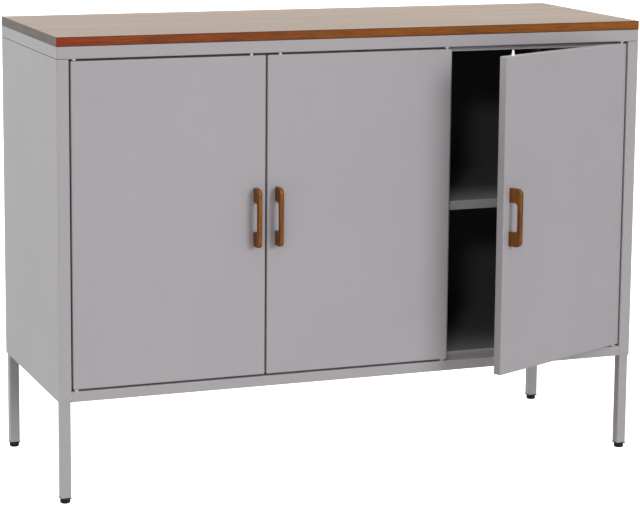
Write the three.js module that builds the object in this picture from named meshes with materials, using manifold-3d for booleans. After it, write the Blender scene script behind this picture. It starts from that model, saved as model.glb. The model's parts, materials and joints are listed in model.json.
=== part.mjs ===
// Three-door sheet-steel sideboard with a wooden top board, on four square legs.
// Millimetres, +Z up. X runs along the sideboard and -Y is the side with the doors.
// While the pieces are made, y = 0 is the front face of the body and z = 0 is the floor.

import * as THREE from 'three';
import { mergeVertices } from 'three/addons/utils/BufferGeometryUtils.js';
import Module from 'manifold-3d';

const wasm = await Module();
wasm.setup();

// Overall sizes
const WIDTH = 1100;
const DEPTH = 400;
const HEIGHT = 810;
const BODY_BOTTOM = 180;
const BOARD_THICKNESS = 16;
const RIM_HEIGHT = 21.2;

// Sheet metal
const SHEET = 1;
const FIT = 0.3;              // gap between pieces that touch
const BEND = 1.5;             // outer radius of a bend
const HEM = 12;               // short flange that stiffens a free edge
const STILE = 21.5;           // width of the corner channels seen from the front
const FRONT_CHANNEL = 24;     // depth of the front corner channels
const BACK_CHANNEL = 23;
const CHANNEL_RETURN = 13;    // inward flange that closes a channel
const RIM_FLANGE = 15;        // return flange under the rim, at the sides and the back
const STOP_FACE = 20;         // front of the lips that stand behind the doors
const STOP_DROP = 10;         // how far the upper lip hangs
const RAIL_HEIGHT = 18.4;
const STEP_HEIGHT = 11.5;     // the floor stands this far above the ledge under the doors

// Doors
const DOOR_GAP = 3;
const DOOR_DEPTH = 16;
const DOOR_CORNER = 2.5;
const DOOR_RETURN = 15;
const PIVOT_INSET = 7;        // pivot axis from the door's hinge edge and from its front
const OPEN_ANGLE = 25.5;      // degrees that the right door stands open
const BOTTOM_GAP = 3.2;
const TOP_GAP = 3.7;

// Partition and shelves
const POST_WIDTH = 18;
const SHELF_TOP = 488;
const SHELF_LIP = 16;
const SHELF_FRONT = 28;
const SHELF_BACK = 390;
const SHELF_SIDE_PLAY = 2;
const SHELF_RAIL = 16;
const SHELF_RAIL_REACH = 15;  // how far a rail carries the shelf
const SHELF_RAIL_INSET = 40;  // from the front and the back of the body

// Legs and feet
const LEG = 18;
const LEG_WALL = 1.2;
const LEG_INSET = 2;
const LEG_TOP = 250;
const GLIDE_RADIUS = 9;
const GLIDE_HEIGHT = 8;
const PLUG_FLANGE = 1.7;
const PLUG_LENGTH = 18;
const STEM_RADIUS = 4;
const STEM_LENGTH = 20;

// Handles
const HANDLE_LENGTH = 104;
const HANDLE_REACH = 26;
const HANDLE_WIDTH = 8;
const HANDLE_OPENING = 52;
const HANDLE_CLEAR = 17;      // finger room behind the grip
const HANDLE_INSET = 18.5;    // handle's middle from the door's free edge
const CATCH_INSET = 25;       // catch's middle from the door's free edge

const ROUND_SIDES = 16;

// Worked out from the sizes above
const HALF = WIDTH / 2;
const BOARD_BOTTOM = HEIGHT - BOARD_THICKNESS;
const RIM_TOP = BOARD_BOTTOM - FIT;
const RIM_BOTTOM = RIM_TOP - RIM_HEIGHT;
const PANEL_TOP = RIM_BOTTOM - FIT;
const INNER_HALF = HALF - STILE - FIT;
const BACK_SHEET = DEPTH - SHEET;
const BACK_FLANGE = BACK_SHEET - FIT;      // back face of the flanges that the back panels cover
const RAIL_TOP = BODY_BOTTOM + RAIL_HEIGHT;
const FLOOR_TOP = RAIL_TOP + STEP_HEIGHT;
const DOOR_TOP = RIM_BOTTOM - TOP_GAP;
const DOOR_BOTTOM = RAIL_TOP + BOTTOM_GAP;
const DOOR_MIDDLE = (DOOR_TOP + DOOR_BOTTOM) / 2;
const DOOR_WIDTH = (WIDTH - 2 * STILE - 4 * DOOR_GAP) / 3;
const DOOR_PITCH = DOOR_WIDTH + DOOR_GAP;
const POST_X = -HALF + STILE + DOOR_GAP / 2 + 2 * DOOR_PITCH;

const paint = new THREE.MeshStandardMaterial({ color: 0xa9a4a8, roughness: 0.45, metalness: 0.1 });
const boardWood = new THREE.MeshStandardMaterial({ color: 0xa8835a, roughness: 0.5, metalness: 0 });
const handleWood = new THREE.MeshStandardMaterial({ color: 0x77421c, roughness: 0.4, metalness: 0 });
const blackPlastic = new THREE.MeshStandardMaterial({ color: 0x141416, roughness: 0.6, metalness: 0 });
const nylon = new THREE.MeshStandardMaterial({ color: 0xeeeeea, roughness: 0.4, metalness: 0 });
const steel = new THREE.MeshStandardMaterial({ color: 0xb8b8ba, roughness: 0.3, metalness: 1 });

const object = new THREE.Group();

// A closed box between two values on each axis, given in either order.
function box(x0, x1, y0, y1, z0, z1) {
  const geometry = new THREE.BoxGeometry();
  const corners = geometry.attributes.position;
  const pick = (sign, a, b) => (sign < 0 ? Math.min(a, b) : Math.max(a, b));
  for (let i = 0; i < corners.count; i += 1) {
    corners.setXYZ(
      i,
      pick(corners.getX(i), x0, x1),
      pick(corners.getY(i), y0, y1),
      pick(corners.getZ(i), z0, z1),
    );
  }
  return geometry;
}

function toSolid(geometry) {
  const bare = geometry.clone();
  bare.deleteAttribute('normal');
  bare.deleteAttribute('uv');
  const merged = mergeVertices(bare, 1e-4);
  return new wasm.Manifold(new wasm.Mesh({
    numProp: 3,
    vertProperties: new Float32Array(merged.attributes.position.array),
    triVerts: new Uint32Array(merged.index.array),
  }));
}

function toGeometry(solid) {
  const mesh = solid.getMesh();
  const geometry = new THREE.BufferGeometry();
  geometry.setAttribute('position', new THREE.BufferAttribute(mesh.vertProperties, 3));
  geometry.setIndex(new THREE.BufferAttribute(mesh.triVerts, 1));
  return geometry;
}

function join(...pieces) {
  return toGeometry(pieces.map(toSolid).reduce((whole, piece) => whole.add(piece)));
}

function cut(geometry, ...tools) {
  return toGeometry(tools.map(toSolid).reduce((rest, tool) => rest.subtract(tool), toSolid(geometry)));
}

// A round rod along Z between two heights.
function rod(radius, x, y, z0, z1, sides = ROUND_SIDES) {
  return new THREE.CylinderGeometry(radius, radius, z1 - z0, sides)
    .rotateX(Math.PI / 2)
    .translate(x, y, (z0 + z1) / 2);
}

// A turned piece about the Z axis from a profile of [radius, height] points.
function turned(profile, sides = ROUND_SIDES) {
  const points = profile.map(([radius, height]) => new THREE.Vector2(radius, height));
  return new THREE.LatheGeometry(points, sides).rotateX(Math.PI / 2);
}

// Turns a profile raised along +Z so that it runs along X, with the profile in Y and Z,
// or along Y, with the profile in Z and X.
const along = {
  x: new THREE.Matrix4().makeBasis(
    new THREE.Vector3(0, 1, 0),
    new THREE.Vector3(0, 0, 1),
    new THREE.Vector3(1, 0, 0),
  ),
  y: new THREE.Matrix4().makeBasis(
    new THREE.Vector3(0, 0, 1),
    new THREE.Vector3(1, 0, 0),
    new THREE.Vector3(0, 1, 0),
  ),
  z: new THREE.Matrix4(),
};

function raised(shape, from, to, axis = 'z', curveSegments = 3) {
  const settings = { depth: to - from, bevelEnabled: false, curveSegments };
  return new THREE.ExtrudeGeometry(shape, settings).translate(0, 0, from).applyMatrix4(along[axis]);
}

// A sheet strip whose section follows a line with rounded bends, drawn out between two places
// on an axis. The points are on the middle of the sheet.
function folded(points, from, to, axis = 'z') {
  const line = points.map(([x, y]) => new THREE.Vector2(x, y));
  const middleRadius = BEND - SHEET / 2;
  const steps = 3;
  const left = [];
  const right = [];
  const addPair = (point, direction) => {
    const across = new THREE.Vector2(-direction.y, direction.x).multiplyScalar(SHEET / 2);
    left.push(point.clone().add(across));
    right.push(point.clone().sub(across));
  };
  line.forEach((point, i) => {
    const before = i > 0 ? point.clone().sub(line[i - 1]).normalize() : null;
    const after = i < line.length - 1 ? line[i + 1].clone().sub(point).normalize() : null;
    if (!before || !after) {
      addPair(point, before ?? after);
      return;
    }
    const turn = Math.sign(before.cross(after));
    const inward = new THREE.Vector2(-before.y, before.x).multiplyScalar(turn * middleRadius);
    const centre = point.clone().addScaledVector(before, -middleRadius).add(inward);
    for (let step = 0; step <= steps; step += 1) {
      const angle = turn * (step / steps) * Math.PI / 2;
      const direction = before.clone().rotateAround(new THREE.Vector2(), angle);
      const spoke = new THREE.Vector2(direction.y, -direction.x).multiplyScalar(turn * middleRadius);
      addPair(centre.clone().add(spoke), direction);
    }
  });
  return raised(new THREE.Shape([...left, ...right.reverse()]), from, to, axis);
}

function place(name, geometry, material, parent = object) {
  const mesh = new THREE.Mesh(geometry, material);
  mesh.name = name;
  parent.add(mesh);
  return mesh;
}

// The pivot and the catch of each door, along X and from the front of the body.
const doors = [
  { name: 'left', slot: 0, side: 1, open: 0 },
  { name: 'middle', slot: 1, side: -1, open: 0 },
  { name: 'right', slot: 2, side: -1, open: OPEN_ANGLE },
].map((door) => {
  const leftEdge = -HALF + STILE + DOOR_GAP + door.slot * DOOR_PITCH;
  const hingeEdge = door.side > 0 ? leftEdge : leftEdge + DOOR_WIDTH;
  const pivotX = hingeEdge + door.side * PIVOT_INSET;
  return { ...door, pivotX, catchX: pivotX + door.side * (DOOR_WIDTH - PIVOT_INSET - CATCH_INSET) };
});

const PIN_RADIUS = 2.5;
const PIN_HOLE = PIN_RADIUS + FIT;
const BUSH_BORE = 2.75;
const BUSH_RADIUS = 3.6;
const BUSH_HOLE = BUSH_RADIUS + FIT;
const BUSH_FLANGE = 4.5;
const BUSH_FLANGE_THICKNESS = 1.2;
const BUSH_LENGTH = 5;
const CATCH_RADIUS = 3;
const CATCH_HOLE = CATCH_RADIUS + 0.4;
const CATCH_TIP = 10.5;       // height of the catch cone above the door

function woodTop() {
  const edge = 0.8;
  const outline = new THREE.Shape([
    new THREE.Vector2(-HALF, 0),
    new THREE.Vector2(HALF, 0),
    new THREE.Vector2(HALF, DEPTH),
    new THREE.Vector2(-HALF, DEPTH),
  ]);
  const board = new THREE.ExtrudeGeometry(outline, {
    depth: BOARD_THICKNESS - 2 * edge,
    bevelSize: edge,
    bevelThickness: edge,
    bevelOffset: -edge,
    bevelSegments: 2,
  });
  place('wood_top', board.translate(0, 0, BOARD_BOTTOM + edge), boardWood);
}

// The rim stands on the side panels. Its front flange reaches back to the lip behind the doors.
function topRim() {
  const middle = SHEET / 2;
  const lipTop = RIM_BOTTOM + 0.8 * SHEET;
  const wall = HALF - SHEET;
  const window = HALF - RIM_FLANGE;
  const frame = cut(
    box(-HALF, HALF, 0, DEPTH, RIM_BOTTOM, RIM_TOP),
    box(-wall, wall, SHEET, DEPTH - SHEET, RIM_BOTTOM + SHEET, RIM_TOP + 1),
    box(-window, window, STOP_FACE + middle, DEPTH - RIM_FLANGE, RIM_BOTTOM - 1, RIM_BOTTOM + 5),
  );
  const lip = box(-INNER_HALF, INNER_HALF, STOP_FACE, STOP_FACE + SHEET, RIM_BOTTOM - STOP_DROP, lipTop);
  const holes = doors.flatMap((door) => [
    rod(BUSH_HOLE, door.pivotX, PIVOT_INSET, RIM_BOTTOM - 2, RIM_BOTTOM + 3),
    rod(CATCH_HOLE, door.catchX, PIVOT_INSET, RIM_BOTTOM - 2, RIM_BOTTOM + 3),
  ]);
  place('top_rim', cut(join(frame, lip), ...holes), paint);
}

// Flat sheet inside the rim, under the wooden board.
function topPanel() {
  const edge = HALF - SHEET - FIT;
  const sheet = box(-edge, edge, SHEET + FIT, DEPTH - SHEET - FIT, RIM_TOP - SHEET, RIM_TOP);
  place('top_panel', sheet, paint);
}

// Outer wall with a channel folded at each end. side is -1 on the left and 1 on the right.
function sidePanel(name, side) {
  const half = SHEET / 2;
  const outer = side * (HALF - half);
  const inner = side * (HALF - STILE + half);
  const lip = inner + side * CHANNEL_RETURN;
  const front = FRONT_CHANNEL - half;
  const back = BACK_FLANGE - BACK_CHANNEL + half;
  const line = [
    [lip, front],
    [inner, front],
    [inner, half],
    [outer, half],
    [outer, BACK_FLANGE - half],
    [inner, BACK_FLANGE - half],
    [inner, back],
    [lip, back],
  ];
  place(name, folded(line, BODY_BOTTOM, PANEL_TOP), paint);
}

// One folding: front rail, ledge under the doors, stop step, cabinet floor and back flange.
// The floor's wings reach under the side panels' middles and turn down against them.
function bottomPanel() {
  const half = SHEET / 2;
  const hidden = SHEET / 20;
  const wing = HALF - SHEET - FIT;
  const wingFront = FRONT_CHANNEL + FIT;
  const wingBack = BACK_FLANGE - BACK_CHANNEL - FIT;
  const strip = folded([
    [HEM, BODY_BOTTOM + half],
    [half, BODY_BOTTOM + half],
    [half, RAIL_TOP - half],
    [STOP_FACE + half, RAIL_TOP - half],
    [STOP_FACE + half, FLOOR_TOP - half],
    [BACK_FLANGE - half, FLOOR_TOP - half],
    [BACK_FLANGE - half, BODY_BOTTOM],
  ], -INNER_HALF, INNER_HALF, 'x');
  const wings = box(-wing, wing, wingFront, wingBack, FLOOR_TOP - SHEET + hidden, FLOOR_TOP - hidden);
  const downturns = [-1, 1].map((side) => box(
    side * (wing - hidden), side * (wing - SHEET),
    wingFront + hidden, wingBack - hidden,
    BODY_BOTTOM, FLOOR_TOP - half,
  ));
  const holes = doors.map((door) => rod(BUSH_HOLE, door.pivotX, PIVOT_INSET, RAIL_TOP - 3, RAIL_TOP + 2));
  place('bottom_panel', cut(join(strip, wings, ...downturns), ...holes), paint);
}

function backPanels() {
  const seam = POST_X;
  const edge = HALF - FIT;
  const height = [BODY_BOTTOM + SHEET, RIM_BOTTOM - FIT];
  place('back_panel_left', box(-edge, seam - FIT / 2, BACK_SHEET, DEPTH, ...height), paint);
  place('back_panel_right', box(seam + FIT / 2, edge, BACK_SHEET, DEPTH, ...height), paint);
}

// A web between a front post and a back flange. The web rises past the rim's back flange.
function partition() {
  const half = SHEET / 2;
  const hidden = SHEET / 20;
  const low = FLOOR_TOP + FIT;
  const high = RIM_TOP - SHEET - FIT;
  const front = STOP_FACE + SHEET + FIT;
  const back = BACK_FLANGE - SHEET - FIT;
  const notch = DEPTH - RIM_FLANGE - FIT;
  const left = POST_X - POST_WIDTH / 2;
  const right = POST_X + POST_WIDTH / 2;
  const post = folded([
    [left + half, front + HEM],
    [left + half, front + half],
    [right - half, front + half],
    [right - half, front + HEM],
  ], low, high);
  const web = raised(new THREE.Shape([
    new THREE.Vector2(front + half, low + hidden),
    new THREE.Vector2(back - half, low + hidden),
    new THREE.Vector2(back - half, PANEL_TOP - hidden),
    new THREE.Vector2(notch, PANEL_TOP - hidden),
    new THREE.Vector2(notch, high - hidden),
    new THREE.Vector2(front + half, high - hidden),
  ]), POST_X - half, POST_X + half, 'x');
  const flange = box(left, right, back - SHEET, back, low, PANEL_TOP);
  place('partition', join(post, web, flange), paint);
}

// A shelf is an upside-down tray that rests on a rail at each end.
function shelf(name, x0, x1) {
  const low = SHELF_TOP - SHELF_LIP;
  place(name, cut(
    box(x0, x1, SHELF_FRONT, SHELF_BACK, low, SHELF_TOP),
    box(x0 + SHEET, x1 - SHEET, SHELF_FRONT + SHEET, SHELF_BACK - SHEET, low - 1, SHELF_TOP - SHEET),
  ), paint);
}

// wall is the face that the rail is fixed to, and reach goes from it to the rail's free edge.
function shelfRail(name, wall, reach) {
  const top = SHELF_TOP - SHELF_LIP - FIT;
  const upright = wall + Math.sign(reach) * (FIT + SHEET / 2);
  const ends = [SHELF_RAIL_INSET, DEPTH - SHELF_RAIL_INSET];
  place(name, folded([
    [top - SHELF_RAIL, upright],
    [top - SHEET / 2, upright],
    [top - SHEET / 2, wall + reach],
  ], ...ends, 'y'), paint);
}

function shelves() {
  const opening = HALF - STILE;
  const left = POST_X - POST_WIDTH / 2;
  const right = POST_X + POST_WIDTH / 2;
  const sideWall = HALF - SHEET;
  const nearWall = STILE + SHELF_RAIL_REACH;
  const nearWeb = POST_WIDTH / 2 + SHELF_RAIL_REACH;
  shelf('shelf_left', -opening + SHELF_SIDE_PLAY, left - SHELF_SIDE_PLAY);
  shelf('shelf_right', right + SHELF_SIDE_PLAY, opening - SHELF_SIDE_PLAY);
  shelfRail('shelf_rail_left_side', -sideWall, nearWall);
  shelfRail('shelf_rail_partition_left', POST_X - SHEET / 2, -nearWeb);
  shelfRail('shelf_rail_partition_right', POST_X + SHEET / 2, nearWeb);
  shelfRail('shelf_rail_right_side', sideWall, -nearWall);
}

// Plan of a door: square at the back, rounded where the front folds into the edges.
function doorPlan(x0, x1) {
  const front = -PIVOT_INSET;
  const back = front + DOOR_DEPTH;
  const r = DOOR_CORNER;
  const plan = new THREE.Shape();
  plan.moveTo(x0, back);
  plan.lineTo(x0, front + r);
  plan.absarc(x0 + r, front + r, r, Math.PI, 1.5 * Math.PI, false);
  plan.lineTo(x1 - r, front);
  plan.absarc(x1 - r, front + r, r, 1.5 * Math.PI, 2 * Math.PI, false);
  plan.lineTo(x1, back);
  return plan;
}

// The bow of a handle, reach against height, standing on the door face at zero.
function bowOutline() {
  const end = HANDLE_LENGTH / 2;
  const gap = HANDLE_OPENING / 2;
  const outer = 10;
  const inner = 6;
  const bow = new THREE.Shape();
  bow.moveTo(FIT, -end);
  bow.lineTo(HANDLE_REACH - outer, -end);
  bow.absarc(HANDLE_REACH - outer, -end + outer, outer, -Math.PI / 2, 0, false);
  bow.lineTo(HANDLE_REACH, end - outer);
  bow.absarc(HANDLE_REACH - outer, end - outer, outer, 0, Math.PI / 2, false);
  bow.lineTo(FIT, end);
  bow.lineTo(FIT, gap);
  bow.lineTo(HANDLE_CLEAR - inner, gap);
  bow.absarc(HANDLE_CLEAR - inner, gap - inner, inner, Math.PI / 2, 0, true);
  bow.lineTo(HANDLE_CLEAR, -gap + inner);
  bow.absarc(HANDLE_CLEAR - inner, -gap + inner, inner, 0, -Math.PI / 2, true);
  bow.lineTo(FIT, -gap);
  return bow;
}

const HANDLE_EDGE = 1.6;
const SCREW_RADIUS = 2;
const SCREW_SPREAD = (HANDLE_LENGTH + HANDLE_OPENING) / 4;

// A hole or a shank along Y.
function crossRod(radius, x, z, y0, y1) {
  return new THREE.CylinderGeometry(radius, radius, Math.abs(y1 - y0), 12).translate(x, (y0 + y1) / 2, z);
}

function handle(door, parent, x) {
  const front = -PIVOT_INSET;
  const bow = new THREE.ExtrudeGeometry(bowOutline(), {
    depth: HANDLE_WIDTH - 2 * HANDLE_EDGE,
    bevelSize: HANDLE_EDGE,
    bevelThickness: HANDLE_EDGE,
    bevelOffset: -HANDLE_EDGE,
    bevelSegments: 2,
    curveSegments: 4,
  });
  bow.translate(0, 0, -HANDLE_WIDTH / 2 + HANDLE_EDGE);
  bow.applyMatrix4(new THREE.Matrix4().makeBasis(
    new THREE.Vector3(0, -1, 0),
    new THREE.Vector3(0, 0, 1),
    new THREE.Vector3(-1, 0, 0),
  ));
  bow.translate(x, front, DOOR_MIDDLE);
  const heights = [DOOR_MIDDLE - SCREW_SPREAD, DOOR_MIDDLE + SCREW_SPREAD];
  const holes = heights.map((z) => crossRod(SCREW_RADIUS + FIT, x, z, front + 1, front - 16));
  place(`${door.name}_handle`, cut(bow, ...holes), handleWood, parent);
  const headTop = front + SHEET + FIT;
  ['lower', 'upper'].forEach((level, i) => {
    const screw = join(
      crossRod(4, x, heights[i], headTop, headTop + 2.4),
      crossRod(SCREW_RADIUS, x, heights[i], headTop + 1, front - 14),
    );
    place(`${door.name}_handle_screw_${level}`, screw, steel, parent);
  });
}

function hingePin() {
  const inDoor = 12;
  const reach = TOP_GAP + 7;
  const collar = SHEET + FIT;
  return turned([
    [0, -inDoor],
    [PIN_RADIUS, -inDoor],
    [PIN_RADIUS, -collar - 2],
    [PIN_RADIUS + 1.7, -collar - 2],
    [PIN_RADIUS + 1.7, -collar],
    [PIN_RADIUS, -collar],
    [PIN_RADIUS, reach - 0.8],
    [PIN_RADIUS - 0.8, reach],
    [0, reach],
  ]);
}

// The flange lies against the sheet on the door's side and the sleeve goes through the sheet.
function hingeBush() {
  return turned([
    [BUSH_BORE, 0],
    [BUSH_FLANGE, 0],
    [BUSH_FLANGE, BUSH_FLANGE_THICKNESS],
    [BUSH_RADIUS, BUSH_FLANGE_THICKNESS],
    [BUSH_RADIUS, BUSH_LENGTH],
    [BUSH_BORE, BUSH_LENGTH],
    [BUSH_BORE, 0],
  ]);
}

function catchPlunger() {
  const collar = SHEET + FIT;
  return turned([
    [0, -14],
    [2, -14],
    [2, -collar - 2],
    [4.2, -collar - 2],
    [4.2, -collar],
    [CATCH_RADIUS, -collar],
    [CATCH_RADIUS, 0.6],
    [1.5, CATCH_TIP - 1],
    [0.8, CATCH_TIP],
    [0, CATCH_TIP],
  ]);
}

// A cup under the door's top edge in which the catch slides.
function catchGuide() {
  const mouth = -SHEET - FIT;
  const depth = mouth - 26;
  return turned([
    [0, depth],
    [5.6, depth],
    [5.6, mouth],
    [4.6, mouth],
    [4.6, depth + 1.2],
    [0, depth + 1.2],
  ]);
}

function door(door) {
  const group = new THREE.Group();
  group.position.set(door.pivotX, PIVOT_INSET, 0);
  group.rotation.z = THREE.MathUtils.degToRad(door.open);
  object.add(group);

  const hinge = -door.side * PIVOT_INSET;
  const free = hinge + door.side * DOOR_WIDTH;
  const [x0, x1] = [Math.min(hinge, free), Math.max(hinge, free)];
  const front = -PIVOT_INSET;
  const back = front + DOOR_DEPTH;
  const catchX = door.catchX - door.pivotX;
  const handleX = free - door.side * HANDLE_INSET;

  const block = raised(doorPlan(x0, x1), DOOR_BOTTOM, DOOR_TOP);
  const r = DOOR_RETURN;
  const pan = cut(
    block,
    box(x0 + SHEET, x1 - SHEET, front + SHEET, back - SHEET, DOOR_BOTTOM + SHEET, DOOR_TOP - SHEET),
    box(x0 + r, x1 - r, front + DOOR_DEPTH / 2, back + 1, DOOR_BOTTOM + r, DOOR_TOP - r),
    rod(PIN_HOLE, 0, 0, DOOR_BOTTOM - 1, DOOR_BOTTOM + 3),
    rod(PIN_HOLE, 0, 0, DOOR_TOP - 3, DOOR_TOP + 1),
    rod(CATCH_HOLE, catchX, 0, DOOR_TOP - 3, DOOR_TOP + 1),
    crossRod(SCREW_RADIUS + FIT, handleX, DOOR_MIDDLE - SCREW_SPREAD, front - 1, front + 3),
    crossRod(SCREW_RADIUS + FIT, handleX, DOOR_MIDDLE + SCREW_SPREAD, front - 1, front + 3),
  );
  place(`${door.name}_door`, pan, paint, group);

  const linerFront = back - 2 * SHEET - FIT;
  const inset = SHEET + FIT;
  place(`${door.name}_door_liner`, box(
    x0 + inset, x1 - inset, linerFront, linerFront + SHEET, DOOR_BOTTOM + inset, DOOR_TOP - inset,
  ), paint, group);

  handle(door, group, handleX);
  place(`${door.name}_hinge_pin_upper`, hingePin().translate(0, 0, DOOR_TOP), steel, group);
  place(`${door.name}_hinge_pin_lower`, hingePin().rotateX(Math.PI).translate(0, 0, DOOR_BOTTOM), steel, group);
  place(`${door.name}_catch_plunger`, catchPlunger().translate(catchX, 0, DOOR_TOP), nylon, group);
  place(`${door.name}_catch_guide`, catchGuide().translate(catchX, 0, DOOR_TOP), nylon, group);

  const below = RIM_BOTTOM - FIT - BUSH_FLANGE_THICKNESS;
  const above = RAIL_TOP + FIT + BUSH_FLANGE_THICKNESS;
  place(`${door.name}_hinge_bush_upper`, hingeBush().translate(door.pivotX, PIVOT_INSET, below), nylon);
  place(
    `${door.name}_hinge_bush_lower`,
    hingeBush().rotateX(Math.PI).translate(door.pivotX, PIVOT_INSET, above),
    nylon,
  );
}

function square(side, radius) {
  const h = side / 2;
  const shape = new THREE.Shape();
  shape.moveTo(-h + radius, -h);
  [[1, -1, -0.5], [1, 1, 0], [-1, 1, 0.5], [-1, -1, 1]].forEach(([sx, sy, start]) => {
    const centre = [sx * (h - radius), sy * (h - radius)];
    shape.absarc(...centre, radius, start * Math.PI, (start + 0.5) * Math.PI, false);
  });
  return shape;
}

function leg(name, x, y) {
  const tube = square(LEG, 1.5);
  tube.holes.push(square(LEG - 2 * LEG_WALL, 0.8));
  const plugTop = GLIDE_HEIGHT + FIT + PLUG_FLANGE;
  const foot = plugTop + FIT;
  const plug = cut(
    join(
      raised(square(LEG + 1, 1.5), GLIDE_HEIGHT + FIT, plugTop),
      raised(square(LEG - 2 * LEG_WALL - 2 * FIT, 0.8), plugTop - PLUG_FLANGE / 2, plugTop + PLUG_LENGTH),
    ),
    rod(STEM_RADIUS + FIT, 0, 0, 0, plugTop + PLUG_LENGTH + 1),
  );
  const glide = turned([
    [0, 0],
    [GLIDE_RADIUS - 2, 0],
    [GLIDE_RADIUS - 0.5, 1],
    [GLIDE_RADIUS, 3],
    [GLIDE_RADIUS, GLIDE_HEIGHT - 0.6],
    [GLIDE_RADIUS - 0.6, GLIDE_HEIGHT],
    [STEM_RADIUS, GLIDE_HEIGHT],
    [STEM_RADIUS, GLIDE_HEIGHT + STEM_LENGTH],
    [0, GLIDE_HEIGHT + STEM_LENGTH],
  ]);
  place(`leg_${name}`, raised(tube, foot, LEG_TOP).translate(x, y, 0), paint);
  place(`leg_plug_${name}`, plug.translate(x, y, 0), blackPlastic);
  place(`leg_glide_${name}`, glide.translate(x, y, 0), blackPlastic);
}

function legs() {
  const x = HALF - LEG_INSET - LEG / 2;
  const front = SHEET + 0.4 + LEG / 2;
  const back = BACK_FLANGE - SHEET - 0.4 - LEG / 2;
  leg('front_left', -x, front);
  leg('front_right', x, front);
  leg('back_left', -x, back);
  leg('back_right', x, back);
}

woodTop();
topRim();
topPanel();
sidePanel('left_side_panel', -1);
sidePanel('right_side_panel', 1);
bottomPanel();
backPanels();
partition();
shelves();
doors.forEach(door);
legs();

// The origin is on the floor, under the middle of the whole object's box.
const bounds = new THREE.Box3().setFromObject(object, true);
object.position.y = -(bounds.min.y + bounds.max.y) / 2;

export default object;
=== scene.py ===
"""The visible pieces, finishes and studio of a three-door steel sideboard with a wooden board."""

import json
import math

import bmesh
import bpy
from mathutils import Matrix, Vector


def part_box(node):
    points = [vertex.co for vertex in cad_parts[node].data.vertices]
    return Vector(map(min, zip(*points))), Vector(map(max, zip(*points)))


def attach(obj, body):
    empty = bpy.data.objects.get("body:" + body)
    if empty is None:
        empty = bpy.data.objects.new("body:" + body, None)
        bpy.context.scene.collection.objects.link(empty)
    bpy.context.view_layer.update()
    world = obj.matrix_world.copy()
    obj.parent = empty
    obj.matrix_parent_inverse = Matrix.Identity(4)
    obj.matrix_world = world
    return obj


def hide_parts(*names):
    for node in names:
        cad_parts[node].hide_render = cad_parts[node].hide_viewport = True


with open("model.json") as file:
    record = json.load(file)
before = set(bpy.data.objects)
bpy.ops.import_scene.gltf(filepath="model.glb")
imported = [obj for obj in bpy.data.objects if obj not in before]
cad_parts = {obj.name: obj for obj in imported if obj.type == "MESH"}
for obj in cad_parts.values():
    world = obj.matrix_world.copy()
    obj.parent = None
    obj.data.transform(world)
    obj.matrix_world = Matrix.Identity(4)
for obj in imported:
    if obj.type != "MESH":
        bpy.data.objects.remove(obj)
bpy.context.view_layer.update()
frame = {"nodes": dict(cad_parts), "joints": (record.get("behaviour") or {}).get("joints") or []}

MM = 0.001
TINY = 0.01 * MM
AXIS = {"x": Vector((1, 0, 0)), "y": Vector((0, 1, 0)), "z": Vector((0, 0, 1))}

# Sheet metal
SHEET = 1 * MM
FIT = 0.3 * MM
SEAM = 0.05 * MM            # gap of a joint that looks closed
BEND = 1.5 * MM             # outer radius of a bend
BEND_STEPS = 4
HEM = 12 * MM               # short flange that stiffens a free edge
STILE = 21.5 * MM           # width of the corner channels seen from the front
FRONT_CHANNEL = 24 * MM
BACK_CHANNEL = 23 * MM
CHANNEL_RETURN = 13 * MM
RIM_FLANGE = 15 * MM
STOP_FACE = 20 * MM         # front of the lips that stand behind the doors
DOOR_RETURN = 15 * MM
DOOR_CORNER = 2.2 * MM
LEG_WALL = 1.2 * MM
SCREW_RADIUS = 3.2 * MM
SCREW_INSET = 8 * MM
RECESS_LENGTH = 3.2 * MM
RECESS_WIDTH = 0.7 * MM
BOARD_ARRIS = 0.8 * MM      # rounding of the board's edges

# Hinges and catches
PIN_RADIUS = 2.5 * MM
BUSH_BORE = 2.75 * MM
BUSH_HOLE = 4 * MM
CATCH_HOLE = 3.4 * MM
DRILL_REACH = 3 * MM        # how far a drill goes past a sheet

# Handles
HANDLE_CLEAR = 17 * MM
HANDLE_OPENING = 52 * MM
HANDLE_OUTER = 10 * MM
HANDLE_INNER = 6 * MM
HANDLE_EDGE = 1.8 * MM

TURNED_SIDES = 32
SMOOTH_ANGLE = math.radians(35)
FOLD_ANGLE = 0.1            # least angle between the faces of a fold, in radians
SQUARE_ANGLE = 1            # least angle between the faces of a square corner, in radians

# Studio
CAMERA_PLACE = (-1.5049, -3.8569, 1.1999)
CAMERA_ANGLES = (20.873, 9.173, 0.484)      # pan, tilt and roll in degrees
CAMERA_LENS = 129.5
CAMERA_SHIFT = (0.003, -0.125)
STUDIO_SIZE = 40
AMBIENT = 0.22              # strength of the light from all round
SUNS = (
    # name, way from the sideboard to the light, strength, spread in degrees, colour
    ("key", (0.42, -1, 0.34), 1.75, 22, (1, 0.99, 1)),
    ("side", (-1, 0.6, 0.3), 2.15, 40, (0.94, 1, 0.94)),
    ("top", (-0.1, -0.15, 1), 1.85, 50, (1, 1, 1)),
    ("fill", (-0.56, -1, 0.41), 0.5, 6, (1, 1, 1)),
)

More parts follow.
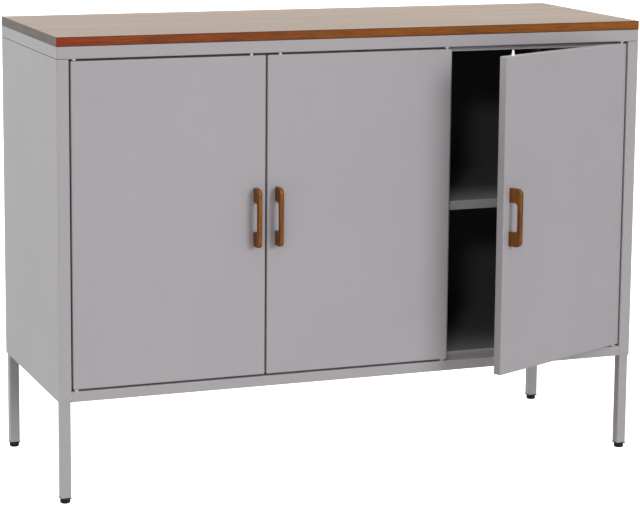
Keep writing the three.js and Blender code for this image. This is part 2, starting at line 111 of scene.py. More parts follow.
# Places that the frame gives
BOARD_LOW, BOARD_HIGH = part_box("wood_top")
LEFT, RIGHT = BOARD_LOW.x, BOARD_HIGH.x
FRONT, BACK = BOARD_LOW.y, BOARD_HIGH.y
RIM_LOW, RIM_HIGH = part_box("top_rim")
FLOOR_LOW, FLOOR_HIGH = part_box("bottom_panel")
PANEL_LOW, PANEL_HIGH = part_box("left_side_panel")
RIM_BOTTOM = PANEL_HIGH.z + FIT
RAIL_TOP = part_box("left_hinge_bush_lower")[1].z - FIT - 1.2 * MM
INNER_LEFT = LEFT + STILE + SEAM
INNER_RIGHT = RIGHT - STILE - SEAM
BACK_FLANGE = PANEL_HIGH.y
DOORS = ("left", "middle", "right")
CORNERS = ("front_left", "front_right", "back_left", "back_right")
HINGES = {joint["name"]: joint for joint in frame["joints"]}


# ---------------------------------------------------------------- finishes


class Reading:
    """A value that a finish works out at each point. A sum on it adds its Math node."""

    def __init__(self, finish, socket):
        self.finish = finish
        self.socket = socket

    def math(self, operation, *values):
        inputs = dict(enumerate(values))
        return self.finish.node("ShaderNodeMath", {"operation": operation}, inputs)

    def __add__(self, other):
        return self.math("ADD", self, other)

    def __sub__(self, other):
        return self.math("SUBTRACT", self, other)

    def __rsub__(self, other):
        return self.math("SUBTRACT", other, self)

    def __mul__(self, other):
        return self.math("MULTIPLY", self, other)

    def size(self):
        """The value without its sign."""
        return self.math("ABSOLUTE", self)

    __radd__ = __add__
    __rmul__ = __mul__


class Finish:
    """A material whose nodes are added one by one."""

    def __init__(self, name, **settings):
        self.material = bpy.data.materials.new(name)
        self.material.use_nodes = True
        self.tree = self.material.node_tree
        self.shader = self.tree.nodes["Principled BSDF"]
        for socket, value in settings.items():
            self.feed(self.shader.inputs[socket.replace("_", " ")], value)

    def feed(self, socket, value):
        """Links a reading to a socket, or sets a constant there."""
        if isinstance(value, Reading):
            self.tree.links.new(value.socket, socket)
        elif hasattr(socket.default_value, "__len__") and len(value) < len(socket.default_value):
            socket.default_value = (*value, 1)
        else:
            socket.default_value = value

    def node(self, kind, settings=None, inputs=None, output=0):
        """Adds a node, with its settings first and then the values or links of its sockets."""
        node = self.tree.nodes.new(kind)
        for name, value in (settings or {}).items():
            if name == "stops":
                self.set_stops(node.color_ramp, value)
            else:
                setattr(node, name, value)
        for name, value in (inputs or {}).items():
            self.feed(node.inputs[name], value)
        return Reading(self, node.outputs[output])

    def set_stops(self, ramp, stops):
        while len(ramp.elements) < len(stops):
            ramp.elements.new(1)
        for element, (position, colour) in zip(ramp.elements, stops):
            channels = colour if isinstance(colour, tuple) else (colour, colour, colour)
            element.position = position
            element.color = (*channels, 1)

    def place(self):
        """Object coordinates, which stay with the piece."""
        return self.node("ShaderNodeTexCoord", output="Object")

    def noise(self, scale, detail=2, rough=0.5, warp=0):
        """Cloudy pattern from 0 to 1. Scale is how many spots fit in a metre along each axis."""
        stretched = self.node("ShaderNodeMapping", {}, {"Vector": self.place(), "Scale": scale})
        settings = {"Scale": 1, "Detail": detail, "Roughness": rough, "Distortion": warp}
        return self.node("ShaderNodeTexNoise", {}, {"Vector": stretched, **settings})

    def ramp(self, value, *stops):
        return self.node("ShaderNodeValToRGB", {"stops": stops}, {"Fac": value})

    def blend(self, share, first, second, mode="MIX"):
        settings = {"data_type": "RGBA", "blend_type": mode}
        return self.node("ShaderNodeMix", settings, {0: share, 6: first, 7: second}, output=2)

    def bump(self, height, distance, strength=1):
        inputs = {"Height": height, "Distance": distance, "Strength": strength}
        self.feed(self.shader.inputs["Normal"], self.node("ShaderNodeBump", {}, inputs))

    def base(self, colour):
        self.feed(self.shader.inputs["Base Color"], colour)

    def roughness(self, value):
        self.feed(self.shader.inputs["Roughness"], value)


def shade(level):
    """Linear brightness of a colour given on the 0 to 255 scale."""
    part = level / 255
    return part / 12.92 if part <= 0.04045 else ((part + 0.055) / 1.055) ** 2.4


def tint(red, green, blue):
    return (shade(red), shade(green), shade(blue))


def powder_coat(name, light, dark):
    """Baked powder paint: a fine orange peel and a faint cloudiness."""
    finish = Finish(name, Specular_IOR_Level=0.4)
    peel = finish.noise((520, 520, 520), detail=3)
    cloud = finish.noise((5, 5, 5), detail=4, rough=0.6)
    finish.base(finish.ramp(cloud, (0.3, dark), (0.7, light)))
    finish.roughness(0.5 + 0.12 * peel)
    finish.bump(peel, 0.05 * MM, 0.5)
    return finish.material


def board_veneer():
    """Lacquered top of the board: long pale brown grain with fine dark pores."""
    finish = Finish("board_veneer", Specular_IOR_Level=0.45, Coat_Weight=0.5, Coat_Roughness=0.3)
    figure = finish.noise((1.6, 26, 26), detail=4, rough=0.55, warp=0.6)
    streaks = finish.noise((3, 170, 170), detail=4, rough=0.7)
    pores = finish.noise((30, 900, 900), detail=1)
    pattern = 0.55 * figure + 0.45 * streaks
    wood = finish.ramp(
        pattern,
        (0.34, tint(86, 57, 30)),
        (0.50, tint(112, 82, 48)),
        (0.66, tint(140, 110, 74)),
    )
    pore_mask = finish.ramp(pores, (0.60, 0.0), (0.72, 1.0))
    finish.base(finish.blend(0.4 * pore_mask, wood, tint(78, 46, 24)))
    finish.roughness(0.36 + 0.2 * streaks)
    finish.bump(streaks - 0.6 * pore_mask, 0.08 * MM, 0.6)
    return finish.material


def board_edge():
    """Stained edges of the board, redder towards the left and golden towards the right."""
    finish = Finish("board_edge", Specular_IOR_Level=0.15)
    figure = finish.noise((9, 60, 260), detail=4, rough=0.6, warp=1.2)
    streaks = finish.noise((30, 300, 700), detail=3, rough=0.7)
    across = finish.node("ShaderNodeSeparateXYZ", {}, {"Vector": finish.place()}, output="X")
    height = finish.node("ShaderNodeSeparateXYZ", {}, {"Vector": finish.place()}, output="Z")
    drift = 0.5 + across * (1 / (RIGHT - LEFT)) + 0.15 * (finish.noise((3, 3, 3)) - 0.5)
    stain = finish.ramp(
        drift,
        (0.0, tint(132, 40, 14)),
        (0.08, tint(128, 58, 16)),
        (0.4, tint(120, 64, 16)),
        (1.0, tint(136, 80, 14)),
    )
    dark = finish.ramp(0.6 * figure + 0.4 * streaks, (0.38, 1.0), (0.56, 0.0))
    thickness = BOARD_HIGH.z - BOARD_LOW.z
    from_middle = (height - (BOARD_LOW.z + BOARD_HIGH.z) / 2).size() * (2 / thickness)
    arris = finish.ramp(from_middle, (0.72, 0.0), (0.96, 1.0))
    stain = finish.blend(0.7 * dark, stain, tint(62, 26, 10))
    finish.base(finish.blend(0.6 * arris, stain, tint(60, 26, 12)))
    finish.roughness(0.5 + 0.15 * streaks)
    finish.bump(streaks, 0.05 * MM, 0.5)
    return finish.material


def board_end():
    """Greyish lacquered end of the board."""
    finish = Finish("board_end", Specular_IOR_Level=0.3)
    figure = finish.noise((60, 9, 260), detail=4, rough=0.6)
    finish.base(finish.ramp(figure, (0.35, tint(60, 52, 46)), (0.65, tint(82, 74, 67))))
    finish.roughness(0.45)
    finish.bump(figure, 0.05 * MM, 0.5)
    return finish.material


def handle_stain():
    """Brown stained handle with its grain running up and down."""
    finish = Finish("handle_stain", Specular_IOR_Level=0.2, Coat_Weight=0.08, Coat_Roughness=0.25)
    figure = finish.noise((160, 160, 14), detail=4, rough=0.6, warp=0.8)
    streaks = finish.noise((900, 900, 60), detail=2, rough=0.6)
    finish.base(finish.ramp(
        0.7 * figure + 0.3 * streaks,
        (0.34, tint(72, 36, 4)),
        (0.52, tint(106, 60, 6)),
        (0.68, tint(134, 82, 14)),
    ))
    finish.roughness(0.38 + 0.15 * streaks)
    finish.bump(streaks, 0.05 * MM, 0.5)
    return finish.material


def moulded(name, light, dark, gloss, shine=0.5):
    """Moulded plastic with a fine spark-eroded grain."""
    finish = Finish(name, Specular_IOR_Level=shine)
    grain = finish.noise((900, 900, 900), detail=2)
    finish.base(finish.ramp(grain, (0.35, dark), (0.65, light)))
    finish.roughness(gloss + 0.15 * grain)
    finish.bump(grain, 0.03 * MM, 0.5)
    return finish.material


def zinc():
    """Zinc-plated steel with a faint drawn grain along the shank."""
    finish = Finish("zinc_steel", Metallic=1.0)
    drawn = finish.noise((1500, 1500, 200), detail=2)
    finish.base(finish.ramp(drawn, (0.35, tint(176, 178, 182)), (0.65, tint(206, 206, 204))))
    finish.roughness(0.28 + 0.2 * drawn)
    finish.bump(drawn, 0.01 * MM, 0.5)
    return finish.material


PAINT = powder_coat("grey_powder_coat", tint(149, 145, 148), tint(146, 142, 145))
# Painted shade: the inner coat is the grey paint made much darker for the faces deep inside the
# cabinet, where shade falls.
INNER_PAINTED_SHADE = powder_coat("inner_painted_shade_coat", tint(72, 69, 72), tint(68, 66, 68))
# Painted shade: the tray coat is the grey paint made darker for the upper faces of the shelves and
# the floor inside, which lie in shade.
TRAY_PAINTED_SHADE = powder_coat("tray_painted_shade_coat", tint(114, 111, 114), tint(110, 108, 110))
VENEER = board_veneer()
EDGE_STAIN = board_edge()
END_STAIN = board_end()
HANDLE_STAIN = handle_stain()
BLACK = moulded("black_plastic", tint(20, 20, 22), tint(12, 12, 14), 0.4, shine=0.2)
WHITE = moulded("white_nylon", tint(238, 238, 234), tint(228, 228, 224), 0.3)
ZINC = zinc()


# ---------------------------------------------------------------- modelling


def place_of(piece):
    """Names the new primitive, puts its place in its mesh and opens it for editing."""
    new = bpy.context.object
    new.name = piece
    new.data.name = piece
    bpy.ops.object.transform_apply(location=True, rotation=True, scale=True)
    bpy.ops.object.mode_set(mode="EDIT")
    return new


def take(piece):
    """Leaves edit mode and selects one piece alone."""
    if bpy.context.mode != "OBJECT":
        bpy.ops.object.mode_set(mode="OBJECT")
    bpy.ops.object.select_all(action="DESELECT")
    piece.select_set(True)
    bpy.context.view_layer.objects.active = piece


def carry(piece, matrix):
    """Moves and turns a piece, and puts its new place in its mesh."""
    take(piece)
    piece.matrix_world = matrix
    bpy.ops.object.transform_apply(location=True, rotation=True, scale=False)


def block(name, low, high):
    """A box between two corners, open for editing."""
    bpy.ops.object.select_all(action="DESELECT")
    centre = (Vector(low) + Vector(high)) / 2
    bpy.ops.mesh.primitive_cube_add(size=1, location=centre, scale=Vector(high) - Vector(low))
    return place_of(name)


def middle(item):
    """Middle of an edge or a face."""
    return sum((corner.co for corner in item.verts), Vector()) / len(item.verts)


def runs(edge, axis):
    """Whether an edge lies along an axis."""
    direction = (edge.verts[1].co - edge.verts[0].co).normalized()
    return abs(direction.dot(AXIS[axis])) > 0.99


def same(first, second):
    """Whether two places on an axis are one."""
    return abs(first - second) < TINY


def pick(piece, kind, test):
    """Selects the edges or faces that pass the test."""
    bpy.ops.mesh.select_mode(type=kind)
    bpy.ops.mesh.select_all(action="DESELECT")
    mesh = bmesh.from_edit_mesh(piece.data)
    for item in mesh.edges if kind == "EDGE" else mesh.faces:
        if test(item):
            item.select_set(True)
    bmesh.update_edit_mesh(piece.data)


def slice_at(axis, *values):
    """Cuts all faces by flat planes across an axis and leaves them joined."""
    for value in values:
        bpy.ops.mesh.select_all(action="SELECT")
        bpy.ops.mesh.bisect(plane_co=AXIS[axis] * value, plane_no=AXIS[axis])


def drop(piece, test):
    """Takes away the faces that pass the test."""
    pick(piece, "FACE", test)
    bpy.ops.mesh.delete(type="FACE")


def draw_out(*move):
    """Extrudes what is selected."""
    bpy.ops.mesh.extrude_region_move(TRANSFORM_OT_translate={"value": move})


def is_bent(edge, least=FOLD_ANGLE):
    """Whether two faces meet at the edge at an angle."""
    return len(edge.link_faces) == 2 and edge.calc_face_angle() > least


def round_edges(piece, radius, test, steps=BEND_STEPS):
    """Rounds the edges that pass the test."""
    pick(piece, "EDGE", test)
    bpy.ops.mesh.bevel(offset=radius, segments=steps, affect="EDGES")


def modify(piece, kind, **settings):
    """Adds a modifier and applies it."""
    take(piece)
    modifier = piece.modifiers.new(kind, kind)
    for setting, value in settings.items():
        setattr(modifier, setting, value)
    bpy.ops.object.modifier_apply(modifier=modifier.name)


def thicken(piece, wall=SHEET, side=-1):
    """Gives a shell its wall, inwards for side -1 and half to each side for 0."""
    modify(piece, "SOLIDIFY", thickness=wall, offset=side, use_even_offset=True)


def drill(piece, radius, x, y, low, high):
    """Cuts an upright round hole between two heights."""
    bpy.ops.object.mode_set(mode="OBJECT")
    bpy.ops.object.select_all(action="DESELECT")
    bpy.ops.mesh.primitive_cylinder_add(
        vertices=TURNED_SIDES, radius=radius, depth=high - low, location=(x, y, (low + high) / 2)
    )
    tool = bpy.context.object
    modify(piece, "BOOLEAN", object=tool, operation="DIFFERENCE", solver="EXACT")
    bpy.data.objects.remove(tool, do_unlink=True)


def two_finishes(piece, main, other, test):
    """Gives a piece two finishes, the other one on the faces that pass the test."""
    take(piece)
    piece.data.materials.append(main)
    piece.data.materials.append(other)
    for face in piece.data.polygons:
        if test(face):
            face.material_index = 1


def finish_piece(piece, body, material, nodes=()):
    """Shades a piece, gives it its finish, hangs it on the body that carries it and hides the CAD
    nodes it stands in for.
    """
    take(piece)
    bpy.ops.object.shade_smooth_by_angle(angle=SMOOTH_ANGLE)
    modify(piece, "WEIGHTED_NORMAL", keep_sharp=True, mode="FACE_AREA", weight=100)
    if not piece.data.materials:
        piece.data.materials.append(material)
    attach(piece, body)
    if nodes:
        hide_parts(*nodes)


def keep_node(node, material):
    """Gives a CAD node that stays in view its finish."""
    slots = frame["nodes"][node].data.materials
    slots.clear()
    slots.append(material)


def strip(name, line, low, high, axis):
    """A bare sheet that follows a line with square corners, drawn out along an axis.
    The line gives the middle of the sheet on the other two axes."""
    first, second = {"x": "yz", "y": "xz", "z": "xy"}[axis]
    halfway = AXIS[axis] * (low + high) / 2
    corners = [AXIS[first] * a + AXIS[second] * b + halfway for a, b in line]
    leg = corners[1] - corners[0]
    across = leg.normalized()
    frame_axes = Matrix((AXIS[axis], across, AXIS[axis].cross(across))).transposed()
    bpy.ops.object.select_all(action="DESELECT")
    centre = (corners[0] + corners[1]) / 2
    bpy.ops.mesh.primitive_plane_add(size=1, location=centre, rotation=frame_axes.to_euler())
    bpy.context.object.scale = (high - low, leg.length, 1)
    piece = place_of(name)
    for before, after in zip(corners[1:], corners[2:]):
        pick(piece, "EDGE", lambda edge: runs(edge, axis)
             and (middle(edge) - before).length < TINY)
        draw_out(*(after - before))
    return piece


def fold(piece, axis):
    """Rounds every fold that runs along the axis."""
    round_edges(piece, BEND - SHEET / 2, lambda edge: runs(edge, axis) and is_bent(edge))


def turned(name, profile, x, y, z, up=1):
    """A piece turned about the vertical through a place, from (radius, height) pairs.
    up is -1 for a profile that hangs down from the place."""
    bpy.ops.object.select_all(action="DESELECT")
    points = [Vector((x + radius, y, z + up * height)) for radius, height in profile]
    bpy.ops.mesh.primitive_plane_add(size=MM, location=points[0])
    piece = place_of(name)
    bpy.ops.mesh.select_mode(type="VERT")
    bpy.ops.mesh.merge(type="CENTER")
    for before, after in zip(points, points[1:]):
        draw_out(*(after - before))
    bpy.ops.mesh.select_all(action="SELECT")
    bpy.ops.mesh.spin(steps=TURNED_SIDES, angle=math.tau, center=(x, y, z), axis=(0, 0, 1))
    bpy.ops.mesh.select_all(action="SELECT")
    bpy.ops.mesh.remove_doubles(threshold=TINY / 10)
    bpy.ops.mesh.normals_make_consistent(inside=False)
    return piece


# ---------------------------------------------------------------- casing


def wood_board():
    """The board, with its top, its long edges and its ends in finishes of their own."""
    board = block("board", BOARD_LOW, BOARD_HIGH)
    round_edges(board, BOARD_ARRIS, lambda edge: True, steps=3)
    bpy.ops.object.mode_set(mode="OBJECT")
    for material in (VENEER, EDGE_STAIN, END_STAIN):
        board.data.materials.append(material)
    for face in board.data.polygons:
        if abs(face.normal.z) < 0.8:
            face.material_index = 2 if abs(face.normal.x) > 0.8 else 1
    finish_piece(board, "root", VENEER, ["wood_top"])


def top_rim():
    """Four walls, their flanges below, and the lip that the doors close against."""
    low = Vector((RIM_LOW.x, RIM_LOW.y, RIM_BOTTOM))
    rim = block("rim", low, RIM_HIGH)
    drop(rim, lambda face: same(middle(face).z, RIM_HIGH.z))
    window = (LEFT + RIM_FLANGE, RIGHT - RIM_FLANGE)
    lip_y = FRONT + STOP_FACE + SHEET
    back_y = BACK - RIM_FLANGE
    slice_at("x", *window, INNER_LEFT, INNER_RIGHT)
    slice_at("y", lip_y, back_y)

    def in_window(face):
        spot = middle(face)
        inside = window[0] < spot.x < window[1] and lip_y < spot.y < back_y
        return inside and same(spot.z, RIM_BOTTOM)

    drop(rim, in_window)
    pick(rim, "EDGE", lambda edge: runs(edge, "x") and same(middle(edge).y, lip_y)
         and same(middle(edge).z, RIM_BOTTOM) and INNER_LEFT < middle(edge).x < INNER_RIGHT)
    draw_out(0, 0, RIM_LOW.z - RIM_BOTTOM)

    def corner_or_bottom(edge):
        height = middle(edge).z
        corner = runs(edge, "z") and height > RIM_BOTTOM
        return (corner or same(height, RIM_BOTTOM)) and is_bent(edge)

    round_edges(rim, BEND, corner_or_bottom)
    thicken(rim)
    for door in DOORS:
        for fitting, hole in (("hinge_bush_upper", BUSH_HOLE), ("catch_plunger", CATCH_HOLE)):
            spot = closed_place(door, fitting)
            drill(rim, hole, spot.x, spot.y, RIM_BOTTOM - DRILL_REACH, RIM_BOTTOM + DRILL_REACH)
    finish_piece(rim, "root", PAINT, ["top_rim"])


def side_panel(side, node):
    """A side with its front stile and corner channels folded from one sheet."""
    half = SHEET / 2
    outer = (RIGHT if side > 0 else LEFT) - side * half
    inner = outer - side * (STILE - SHEET)
    lip = inner + side * CHANNEL_RETURN
    front = FRONT + FRONT_CHANNEL - half
    back = BACK_FLANGE - BACK_CHANNEL + half
    panel = strip(node + "_sheet", [
        (lip, front),
        (inner, front),
        (inner, FRONT + half),
        (outer, FRONT + half),
        (outer, BACK_FLANGE - half),
        (inner, BACK_FLANGE - half),
        (inner, back),
        (lip, back),
    ], PANEL_LOW.z, PANEL_HIGH.z, "z")
    fold(panel, "z")
    thicken(panel, side=0)
    finish_piece(panel, "root", PAINT, [node])


def cabinet_floor():
    """Front rail, ledge, stop step, floor and back flange in one folding, with end wings."""
    half = SHEET / 2
    wing = FLOOR_HIGH.x - half
    wing_front = FRONT + FRONT_CHANNEL + FIT
    wing_back = BACK_FLANGE - BACK_CHANNEL - FIT
    floor = strip("cabinet_floor", [
        (FRONT + HEM, FLOOR_LOW.z + half),
        (FRONT + half, FLOOR_LOW.z + half),
        (FRONT + half, RAIL_TOP - half),
        (FRONT + STOP_FACE + half, RAIL_TOP - half),
        (FRONT + STOP_FACE + half, FLOOR_HIGH.z - half),
        (BACK_FLANGE - half, FLOOR_HIGH.z - half),
        (BACK_FLANGE - half, FLOOR_LOW.z),
    ], INNER_LEFT, INNER_RIGHT, "x")
    slice_at("y", wing_front, wing_back)
    for end in (INNER_LEFT, INNER_RIGHT):
        pick(floor, "EDGE", lambda edge: runs(edge, "y") and same(middle(edge).x, end)
             and wing_front < middle(edge).y < wing_back)
        draw_out(math.copysign(wing, end) - end, 0, 0)
        draw_out(0, 0, FLOOR_LOW.z - FLOOR_HIGH.z + half)
    fold(floor, "x")
    fold(floor, "y")
    thicken(floor, side=0)
    for door in DOORS:
        spot = closed_place(door, "hinge_bush_lower")
        drill(floor, BUSH_HOLE, spot.x, spot.y, RAIL_TOP - DRILL_REACH, RAIL_TOP + 2 * MM)
    # The floor's upper face inside takes the darker tray coat: painted shade.
    two_finishes(floor, PAINT, TRAY_PAINTED_SHADE,
                 lambda face: face.normal.z > 0.9 and face.center.z > FLOOR_HIGH.z - half)
    finish_piece(floor, "root", PAINT, ["bottom_panel"])


def shelf(node):
    """An upside-down tray with rounded top edges and corners."""
    low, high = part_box(node)
    tray = block(node + "_tray", low, high)
    drop(tray, lambda face: same(middle(face).z, low.z))
    round_edges(tray, BEND, lambda edge: len(edge.link_faces) == 2)
    thicken(tray)
    # The shelf's top takes the darker tray coat: painted shade.
    two_finishes(tray, PAINT, TRAY_PAINTED_SHADE, lambda face: face.normal.z > 0.9)
    finish_piece(tray, "root", PAINT, [node])


def partition():
    """A post behind the meeting doors, and the web that joins it to a flange at the back."""
    half = SHEET / 2
    low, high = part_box("partition")
    front = low.y + half
    post = strip("partition_post", [
        (low.x + half, front + HEM),
        (low.x + half, front),
        (high.x - half, front),
        (high.x - half, front + HEM),
    ], low.z, high.z, "z")
    fold(post, "z")
    thicken(post, side=0)
    finish_piece(post, "root", PAINT, ["partition"])
    centre = (low.x + high.x) / 2
    web = strip("partition_web", [
        (centre, front + half),
        (centre, high.y - half),
        (high.x, high.y - half),
    ], low.z, PANEL_HIGH.z, "z")
    fold(web, "z")
    thicken(web, side=0)
    # The web takes the darker inner coat: painted shade.
    finish_piece(web, "root", INNER_PAINTED_SHADE)


def screw_head(name, spot, turn):
    """Low round head with a cross recess, standing out of the back."""
    head = turned(name, [
        (0, 0),
        (SCREW_RADIUS, 0),
        (SCREW_RADIUS, 0.4 * MM),
        (SCREW_RADIUS - 0.5 * MM, 0.9 * MM),
        (SCREW_RADIUS - 1.5 * MM, 1.2 * MM),
        (0, 1.3 * MM),
    ], 0, 0, 0)
    bpy.ops.object.mode_set(mode="OBJECT")
    for wide, deep in ((RECESS_LENGTH, RECESS_WIDTH), (RECESS_WIDTH, RECESS_LENGTH)):
        recess = block("recess", (-wide / 2, -deep / 2, 0.7 * MM), (wide / 2, deep / 2, 2 * MM))
        modify(head, "BOOLEAN", object=recess, operation="DIFFERENCE", solver="EXACT")
        bpy.data.objects.remove(recess, do_unlink=True)
    facing = Matrix.Rotation(-math.pi / 2, 4, "X") @ Matrix.Rotation(turn, 4, "Z")
    carry(head, Matrix.Translation(spot) @ facing)
    return head


def back_sheet(node):
    """A flat back held by a row of screws along its edges. Its inner face takes a much darker
    coat, painted shade for the dark inside.
    """
    low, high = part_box(node)
    sheet = block(node + "_sheet", low, high)
    round_edges(sheet, 0.25 * MM, lambda edge: same(middle(edge).y, high.y), 2)
    # The inner face takes the darker inner coat: painted shade.
    two_finishes(sheet, PAINT, INNER_PAINTED_SHADE, lambda face: face.normal.y < -0.9)
    finish_piece(sheet, "root", PAINT, [node])

    wide, tall = high.x - low.x, high.z - low.z
    spots = [(low.x + wide * share, level) for share in (0.17, 0.5, 0.83)
             for level in (low.z + SCREW_INSET, high.z - SCREW_INSET)]
    outer = low.x + SCREW_INSET if low.x < LEFT / 2 else high.x - SCREW_INSET
    spots += [(outer, low.z + tall * share) for share in (0.2, 0.5, 0.8)]
    heads = [screw_head(f"{node}_screw_{count}", (x, high.y, z), 0.9 * count)
             for count, (x, z) in enumerate(spots)]
    bpy.ops.object.select_all(action="DESELECT")
    for head in heads:
        head.select_set(True)
    bpy.context.view_layer.objects.active = heads[0]
    bpy.ops.object.join()
    heads[0].name = heads[0].data.name = node + "_screws"
    finish_piece(heads[0], "root", ZINC)


# ---------------------------------------------------------------- doors


def hinge_of(door):
    """A place on the upright axis that a door turns about."""
    return Vector(HINGES[door + "_door_hinge"]["pos_m"])


def rest_angle(door):
    """How far a door stands open, about the upright axis."""
    joint = HINGES[door + "_door_hinge"]
    return -math.radians(joint["range_deg"][0]) * joint["axis"][2]


def opened(door):
    """Turns a place on the closed door to where it is at rest."""
    pivot = Matrix.Translation(hinge_of(door))
    return pivot @ Matrix.Rotation(rest_angle(door), 4, "Z") @ pivot.inverted()


def closed_place(door, fitting):
    """Middle of a fitting when its door is closed."""
    low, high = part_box(f"{door}_{fitting}")
    spot = (low + high) / 2
    if fitting.startswith("hinge_bush"):
        return spot
    return opened(door).inverted() @ spot


def swing(piece, door):
    """Puts a piece made on the closed door where the door stands at rest."""
    carry(piece, opened(door))


def door_box(door):
    """Corners of a door when it is closed. The middle and right doors hang on the other side."""
    low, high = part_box("left_door")
    if door == "left":
        return low, high
    edge_to_hinge = hinge_of("left").x - low.x
    move = Vector((hinge_of(door).x + edge_to_hinge - high.x, 0, 0))
    return low + move, high + move


def door_pan(door):
    """A shallow pan with its open side to the back and a return round the opening."""
    low, high = door_box(door)
    pan = block(f"{door}_door_pan", low, high)
    pick(pan, "FACE", lambda face: same(middle(face).y, high.y))
    bpy.ops.mesh.inset(thickness=DOOR_RETURN)
    bpy.ops.mesh.delete(type="FACE")
    round_edges(pan, DOOR_CORNER, lambda edge: runs(edge, "y") or same(middle(edge).y, low.y))
    round_edges(pan, SHEET, lambda edge: same(middle(edge).y, high.y)
                and is_bent(edge, SQUARE_ANGLE), steps=3)
    thicken(pan)
    spot = closed_place(door, "catch_plunger")
    drill(pan, CATCH_HOLE, spot.x, spot.y, high.z - DRILL_REACH, high.z + 1 * MM)
    swing(pan, door)
    finish_piece(pan, f"{door}_door_leaf", PAINT, [f"{door}_door"])


def handle(door):
    """A bow cut from one piece of wood, with its feet on the door."""
    low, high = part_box("left_handle")
    if door != "left":
        span = high.x - low.x
        free = door_box(door)[0].x
        inset = door_box("left")[1].x - high.x
        low = Vector((free + inset, low.y, low.z))
        high = Vector((free + inset + span, high.y, high.z))
    bow = block(f"{door}_handle_bow", low, high)
    grip = high.y - HANDLE_CLEAR
    centre = (low.z + high.z) / 2
    gap = (centre - HANDLE_OPENING / 2, centre + HANDLE_OPENING / 2)
    slice_at("z", *gap)
    slice_at("y", grip)
    drop(bow, lambda face: gap[0] < middle(face).z < gap[1] and middle(face).y > grip + TINY)

    def beside_gap(edge):
        spot = middle(edge)
        ends = runs(edge, "y") and spot.y > grip and (same(spot.z, gap[0]) or same(spot.z, gap[1]))
        upright = runs(edge, "z") and same(spot.y, grip) and gap[0] < spot.z < gap[1]
        return (ends or upright) and len(edge.link_faces) == 1

    pick(bow, "EDGE", beside_gap)
    bpy.ops.mesh.bridge_edge_loops()
    bpy.ops.mesh.select_all(action="SELECT")
    bpy.ops.mesh.dissolve_limited(angle_limit=math.radians(1))
    bpy.ops.mesh.select_all(action="SELECT")
    bpy.ops.mesh.normals_make_consistent(inside=False)
    round_edges(bow, HANDLE_OUTER, lambda edge: runs(edge, "x") and same(middle(edge).y, low.y), 8)
    round_edges(bow, HANDLE_INNER, lambda edge: runs(edge, "x") and same(middle(edge).y, grip), 6)

    def side_arris(edge):
        spot = middle(edge)
        on_side = same(spot.x, low.x) or same(spot.x, high.x)
        return on_side and not runs(edge, "x") and spot.y < high.y - TINY

    round_edges(bow, HANDLE_EDGE, side_arris, 4)
    swing(bow, door)
    finish_piece(bow, f"{door}_door_leaf", HANDLE_STAIN, [f"{door}_handle"])


def hinge_pins(door):
    """Steel pins that stand in the door and turn in nylon bushes."""
    radius = PIN_RADIUS
    for level, up in (("upper", 1), ("lower", -1)):
        node = f"{door}_hinge_pin_{level}"
        low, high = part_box(node)
        length = high.z - low.z
        spot = hinge_of(door)
        base = low.z if up > 0 else high.z
        pin = turned(node + "_turned", [
            (0, 0),
            (radius, 0),
            (radius, 8.7 * MM),
            (radius + 1.7 * MM, 8.7 * MM),
            (radius + 1.7 * MM, 10.7 * MM),
            (radius, 10.7 * MM),
            (radius, length - 0.8 * MM),
            (radius - 0.8 * MM, length),
            (0, length),
        ], spot.x, spot.y, base, up)
        finish_piece(pin, f"{door}_door_leaf", ZINC, [node])
        bush_node = f"{door}_hinge_bush_{level}"
        bush_low, bush_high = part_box(bush_node)
        bush = turned(bush_node + "_turned", [
            (BUSH_BORE, 0),
            (4.2 * MM, 0),
            (4.5 * MM, 0.3 * MM),
            (4.5 * MM, 1.2 * MM),
            (3.6 * MM, 1.2 * MM),
            (3.6 * MM, 5 * MM),
            (BUSH_BORE, 5 * MM),
            (BUSH_BORE, 0),
        ], spot.x, spot.y, bush_low.z if up > 0 else bush_high.z, up)
        finish_piece(bush, "root", WHITE, [bush_node])


def catch(door):
    """White cone that stands out of the door's top edge and snaps into the rim."""
    node = f"{door}_catch_plunger"
    low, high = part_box(node)
    spot = (low + high) / 2
    tip = high.z - low.z
    cone = turned(node + "_turned", [
        (0, 0),
        (2 * MM, 0),
        (2 * MM, tip - 13.8 * MM),
        (4.2 * MM, tip - 13.8 * MM),
        (4.2 * MM, tip - 11.8 * MM),
        (3 * MM, tip - 11.8 * MM),
        (3 * MM, tip - 9.9 * MM),
        (1.5 * MM, tip - 1 * MM),
        (0.8 * MM, tip - 0.2 * MM),
        (0, tip),
    ], spot.x, spot.y, low.z)
    finish_piece(cone, f"{door}_catch", WHITE, [node])


# ---------------------------------------------------------------- legs


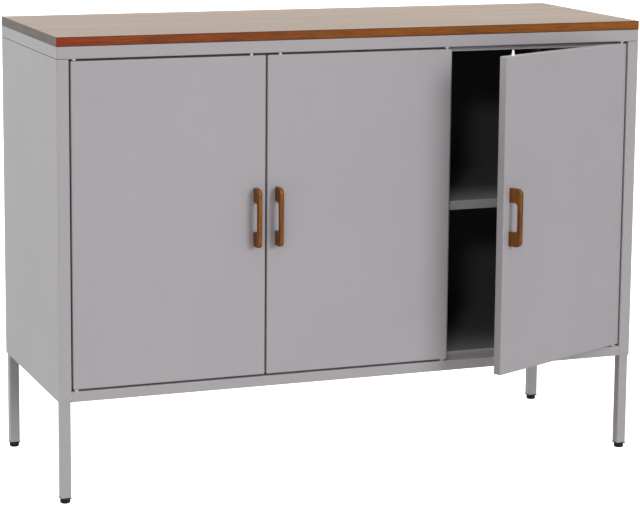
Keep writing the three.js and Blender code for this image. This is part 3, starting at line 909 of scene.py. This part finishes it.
def leg(corner):
    """A square tube, the plug in its lower end and the glide that screws into the plug."""
    low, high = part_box(f"leg_{corner}")
    tube = block(f"leg_{corner}_tube", low, high)
    drop(tube, lambda face: abs(face.normal.z) > 0.9)
    round_edges(tube, BEND, lambda edge: runs(edge, "z"))
    thicken(tube, LEG_WALL)
    finish_piece(tube, "root", PAINT, [f"leg_{corner}"])

    plug_low, plug_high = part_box(f"leg_plug_{corner}")
    flange_top = low.z - FIT
    flange_high = Vector((plug_high.x, plug_high.y, flange_top))
    plug = block(f"leg_plug_{corner}_flange", plug_low, flange_high)
    round_edges(plug, BEND, lambda edge: runs(edge, "z"))
    round_edges(plug, 0.3 * MM, lambda edge: is_bent(edge, SQUARE_ANGLE), 2)
    pick(plug, "FACE", lambda face: face.normal.z > 0.99)
    bpy.ops.mesh.inset(thickness=LEG_WALL + 0.6 * MM)
    draw_out(0, 0, plug_high.z - flange_top)
    finish_piece(plug, "root", BLACK, [f"leg_plug_{corner}"])

    glide_low, glide_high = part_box(f"leg_glide_{corner}")
    spot = (glide_low + glide_high) / 2
    radius = (glide_high.x - glide_low.x) / 2
    glide = turned(f"leg_glide_{corner}_foot", [
        (0, 0),
        (radius - 2.2 * MM, 0),
        (radius - 1 * MM, 0.5 * MM),
        (radius - 0.2 * MM, 1.7 * MM),
        (radius, 3 * MM),
        (radius, 7.2 * MM),
        (radius - 0.3 * MM, 7.8 * MM),
        (radius - 0.9 * MM, 8 * MM),
        (4 * MM, 8 * MM),
        (4 * MM, glide_high.z - glide_low.z),
        (0, glide_high.z - glide_low.z),
    ], spot.x, spot.y, glide_low.z)
    finish_piece(glide, f"glide_{corner}", BLACK, [f"leg_glide_{corner}"])


# ---------------------------------------------------------------- studio


def camera():
    """Camera with a long lens, to the left of the sideboard and a little above it."""
    pan, tilt, roll = (math.radians(angle) for angle in CAMERA_ANGLES)
    level = math.cos(tilt)
    ahead = Vector((math.sin(pan) * level, math.cos(pan) * level, -math.sin(tilt)))
    right = Vector((math.cos(pan), -math.sin(pan), 0))
    up = right.cross(ahead)
    right, up = (
        math.cos(roll) * right + math.sin(roll) * up,
        math.cos(roll) * up - math.sin(roll) * right,
    )
    data = bpy.data.cameras.new("camera")
    data.lens = CAMERA_LENS
    data.sensor_width = 36
    data.shift_x, data.shift_y = CAMERA_SHIFT
    data.clip_end = 50
    view = bpy.data.objects.new("camera", data)
    facing = Matrix((right, up, -ahead)).transposed().to_4x4()
    view.matrix_world = Matrix.Translation(CAMERA_PLACE) @ facing
    bpy.context.collection.objects.link(view)
    bpy.context.scene.camera = view


def soft_sun(name, toward, strength, spread, colour):
    """A wide soft light far away. toward points from the sideboard to the light."""
    data = bpy.data.lights.new(name, "SUN")
    data.energy = strength
    data.angle = math.radians(spread)
    data.color = colour
    light = bpy.data.objects.new(name, data)
    light.rotation_euler = Vector(toward).to_track_quat("Z", "Y").to_euler()
    bpy.context.collection.objects.link(light)


def studio():
    """A white floor, white surroundings that give a weak even light, and four suns."""
    bpy.ops.object.select_all(action="DESELECT")
    bpy.ops.mesh.primitive_plane_add(size=STUDIO_SIZE, location=(0, 0, 0))
    floor = bpy.context.object
    floor.name = "studio_floor"
    pale = Finish("pale_floor", Base_Color=(0.66, 0.66, 0.66), Roughness=0.9)
    pale.feed(pale.shader.inputs["Emission Color"], (1, 1, 1))
    seen_straight = pale.node("ShaderNodeLightPath", output="Is Camera Ray")
    pale.feed(pale.shader.inputs["Emission Strength"], seen_straight)
    floor.data.materials.append(pale.material)

    world = bpy.data.worlds.new("studio_world")
    bpy.context.scene.world = world
    world.use_nodes = True
    nodes = world.node_tree.nodes
    path = nodes.new("ShaderNodeLightPath")
    seen = nodes.new("ShaderNodeMath")
    seen.operation = "MAXIMUM"
    brightness = nodes.new("ShaderNodeMapRange")
    brightness.inputs["To Min"].default_value = AMBIENT
    link = world.node_tree.links.new
    link(path.outputs["Is Camera Ray"], seen.inputs[0])
    link(path.outputs["Is Glossy Ray"], seen.inputs[1])
    link(seen.outputs[0], brightness.inputs["Value"])
    link(brightness.outputs["Result"], nodes["Background"].inputs["Strength"])
    nodes["Background"].inputs["Color"].default_value = (1, 1, 1, 1)

    for sun in SUNS:
        soft_sun(*sun)


camera()
studio()
wood_board()
top_rim()
side_panel(-1, "left_side_panel")
side_panel(1, "right_side_panel")
cabinet_floor()
shelf("shelf_left")
shelf("shelf_right")
partition()
back_sheet("back_panel_left")
back_sheet("back_panel_right")
for name in DOORS:
    door_pan(name)
    handle(name)
    hinge_pins(name)
    catch(name)
for name in CORNERS:
    leg(name)
# The top panel and shelf rails take the darker inner coat: painted shade.
keep_node("top_panel", INNER_PAINTED_SHADE)
for side in ("left_side", "partition_left", "partition_right", "right_side"):
    keep_node(f"shelf_rail_{side}", INNER_PAINTED_SHADE)
for name in DOORS:
    keep_node(f"{name}_door_liner", PAINT)
    keep_node(f"{name}_catch_guide", WHITE)
    for level in ("lower", "upper"):
        keep_node(f"{name}_handle_screw_{level}", ZINC)
bpy.context.scene.view_settings.view_transform = "Standard"
